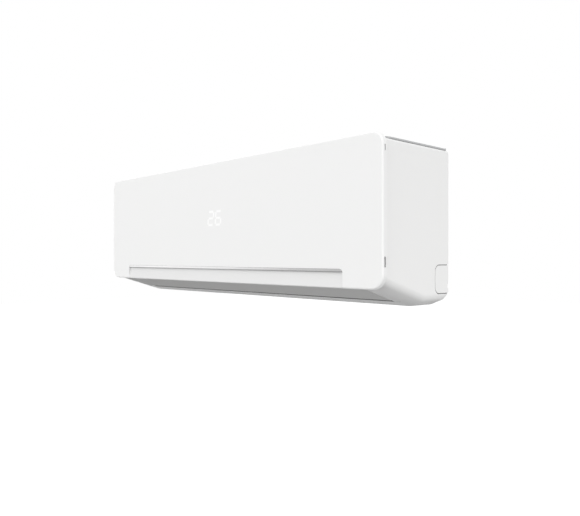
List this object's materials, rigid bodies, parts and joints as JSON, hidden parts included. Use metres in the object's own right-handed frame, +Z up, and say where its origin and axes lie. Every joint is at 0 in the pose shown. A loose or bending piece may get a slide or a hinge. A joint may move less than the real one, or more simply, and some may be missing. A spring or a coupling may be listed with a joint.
{
  "type": "mini split indoor unit",
  "caption": "Wall-hung air conditioner indoor unit with hinged front panel, louver, guide vanes, cross-flow fan, heat exchanger, filters and wall plate.",
  "frame": {"origin": "on the wall plane, at the centre of the wall plate's four fixing holes", "axes": "+X along the unit, to the right as seen from the room; +Y into the wall; +Z up"},
  "size_m": [0.845, 0.181, 0.269],
  "materials": {
    "casing_white": "satin white moulded shell",
    "panel_white": "glossy white panel",
    "chrome_trim": "bright plated strip",
    "grille_grey": "light grey matt grille",
    "chassis_white": "matt white moulding",
    "duct_grey": "dark grey matt moulding",
    "fan_grey": "dark grey glass-filled plastic",
    "steel_shaft": "ground steel",
    "galvanised": "zinc-coated pressed steel",
    "black_rubber": "black rubber",
    "bearing_bronze": "sintered bronze",
    "motor_resin": "black moulding compound",
    "stepper_steel": "plated steel can",
    "fins": "coated aluminium fins",
    "copper": "bare copper tube",
    "union_brass": "turned brass",
    "filter_frame": "dark blue filter frame",
    "filter_mesh": "fine black nylon mesh",
    "box_grey": "flame-retardant grey plastic",
    "board_green": "printed circuit board",
    "parts_black": "black electrical parts",
    "terminal_white": "ivory terminal strip",
    "display_black": "black display parts",
    "screw_steel": "zinc-plated screws"
  },
  "bodies": {
    "unit": {"front_casing": "casing_white", "top_grille": "grille_grey", "rear_chassis": "chassis_white", "drain_pan": "duct_grey", "fan_bearing": "bearing_bronze", "bearing_mount": "black_rubber", "fan_motor": "motor_resin", "motor_clamp": "galvanised", "louver_motor": "stepper_steel", "evaporator_front_lower": "fins", "evaporator_front_upper": "fins", "evaporator_rear": "fins", "evaporator_bends": "copper", "evaporator_end_plates": "galvanised", "gas_pipe": "copper", "liquid_pipe": "copper", "gas_union": "union_brass", "liquid_union": "union_brass", "pipe_clamp": "duct_grey", "room_sensor": "parts_black", "filter_frame_left": "filter_frame", "filter_frame_right": "filter_frame", "filter_mesh_left": "filter_mesh", "filter_mesh_right": "filter_mesh", "control_box": "box_grey", "control_box_cover": "box_grey", "main_board": "board_green", "board_parts": "parts_black", "terminal_block": "terminal_white", "wall_plate": "galvanised", "pipe_cover": "casing_white", "casing_screws": "screw_steel"},
    "panel": {"front_panel": "panel_white", "trim_strip": "chrome_trim", "display_housing": "display_black", "display_board": "display_black"},
    "louver": {"louver_skin": "casing_white", "louver_cover": "duct_grey", "louver_shaft": "steel_shaft"},
    "fan": {"cross_flow_fan": "fan_grey", "fan_shaft": "steel_shaft"},
    "rod_left": {"vane_rod_left": "duct_grey"},
    "rod_right": {"vane_rod_right": "duct_grey"},
    "button": {"manual_button": "casing_white"},
    "vane_left_1": {"vane_left_1": "duct_grey"},
    "vane_left_2": {"vane_left_2": "duct_grey"},
    "vane_left_3": {"vane_left_3": "duct_grey"},
    "vane_left_4": {"vane_left_4": "duct_grey"},
    "vane_left_5": {"vane_left_5": "duct_grey"},
    "vane_right_1": {"vane_right_1": "duct_grey"},
    "vane_right_2": {"vane_right_2": "duct_grey"},
    "vane_right_3": {"vane_right_3": "duct_grey"},
    "vane_right_4": {"vane_right_4": "duct_grey"},
    "vane_right_5": {"vane_right_5": "duct_grey"}
  },
  "joints": [
    {"name": "panel_hinge", "type": "hinge", "parent": "unit", "child": "panel", "pos_m": [0, -0.163, 0.117], "axis": [-1, 0, 0], "range_deg": [0, 65]},
    {"name": "louver_hinge", "type": "hinge", "parent": "unit", "child": "louver", "pos_m": [0, -0.1122, -0.10328], "axis": [1, 0, 0], "range_deg": [0, 85]},
    {"name": "fan_spin", "type": "hinge", "parent": "unit", "child": "fan", "pos_m": [0, -0.08, -0.022], "axis": [1, 0, 0], "continuous": true},
    {"name": "manual_button_press", "type": "slide", "parent": "unit", "child": "button", "axis": [0, 1, 0], "range_m": [0, 0.0015], "stiffness_N_per_m": 300},
    {"name": "vane_left_1_turn", "type": "hinge", "parent": "unit", "child": "vane_left_1", "pos_m": [-0.09425, -0.06502, -0.09385], "axis": [0, -0.6746, 0.7382], "range_deg": [-35, 35]},
    {"name": "vane_left_2_turn", "type": "hinge", "parent": "unit", "child": "vane_left_2", "pos_m": [-0.15425, -0.06502, -0.09385], "axis": [0, -0.6746, 0.7382], "range_deg": [-35, 35]},
    {"name": "vane_left_3_turn", "type": "hinge", "parent": "unit", "child": "vane_left_3", "pos_m": [-0.21425, -0.06502, -0.09385], "axis": [0, -0.6746, 0.7382], "range_deg": [-35, 35]},
    {"name": "vane_left_4_turn", "type": "hinge", "parent": "unit", "child": "vane_left_4", "pos_m": [-0.27425, -0.06502, -0.09385], "axis": [0, -0.6746, 0.7382], "range_deg": [-35, 35]},
    {"name": "vane_left_5_turn", "type": "hinge", "parent": "unit", "child": "vane_left_5", "pos_m": [-0.33425, -0.06502, -0.09385], "axis": [0, -0.6746, 0.7382], "range_deg": [-35, 35]},
    {"name": "vane_rod_left_link", "type": "hinge", "parent": "vane_left_1", "child": "rod_left", "pos_m": [-0.09425, -0.09696, -0.07224], "axis": [0, -0.6746, 0.7382], "range_deg": [-35, 35]},
    {"name": "vane_right_1_turn", "type": "hinge", "parent": "unit", "child": "vane_right_1", "pos_m": [-0.03425, -0.06502, -0.09385], "axis": [0, -0.6746, 0.7382], "range_deg": [-35, 35]},
    {"name": "vane_right_2_turn", "type": "hinge", "parent": "unit", "child": "vane_right_2", "pos_m": [0.02575, -0.06502, -0.09385], "axis": [0, -0.6746, 0.7382], "range_deg": [-35, 35]},
    {"name": "vane_right_3_turn", "type": "hinge", "parent": "unit", "child": "vane_right_3", "pos_m": [0.08575, -0.06502, -0.09385], "axis": [0, -0.6746, 0.7382], "range_deg": [-35, 35]},
    {"name": "vane_right_4_turn", "type": "hinge", "parent": "unit", "child": "vane_right_4", "pos_m": [0.14575, -0.06502, -0.09385], "axis": [0, -0.6746, 0.7382], "range_deg": [-35, 35]},
    {"name": "vane_right_5_turn", "type": "hinge", "parent": "unit", "child": "vane_right_5", "pos_m": [0.20575, -0.06502, -0.09385], "axis": [0, -0.6746, 0.7382], "range_deg": [-35, 35]},
    {"name": "vane_rod_right_link", "type": "hinge", "parent": "vane_right_1", "child": "rod_right", "pos_m": [-0.03425, -0.09696, -0.07224], "axis": [0, -0.6746, 0.7382], "range_deg": [-35, 35]}
  ],
  "couplings": [
    {"joint": "vane_left_2_turn", "follows": "vane_left_1_turn", "ratio": 1},
    {"joint": "vane_left_3_turn", "follows": "vane_left_1_turn", "ratio": 1},
    {"joint": "vane_left_4_turn", "follows": "vane_left_1_turn", "ratio": 1},
    {"joint": "vane_left_5_turn", "follows": "vane_left_1_turn", "ratio": 1},
    {"joint": "vane_rod_left_link", "follows": "vane_left_1_turn", "ratio": -1},
    {"joint": "vane_right_2_turn", "follows": "vane_right_1_turn", "ratio": 1},
    {"joint": "vane_right_3_turn", "follows": "vane_right_1_turn", "ratio": 1},
    {"joint": "vane_right_4_turn", "follows": "vane_right_1_turn", "ratio": 1},
    {"joint": "vane_right_5_turn", "follows": "vane_right_1_turn", "ratio": 1},
    {"joint": "vane_rod_right_link", "follows": "vane_right_1_turn", "ratio": -1}
  ]
}
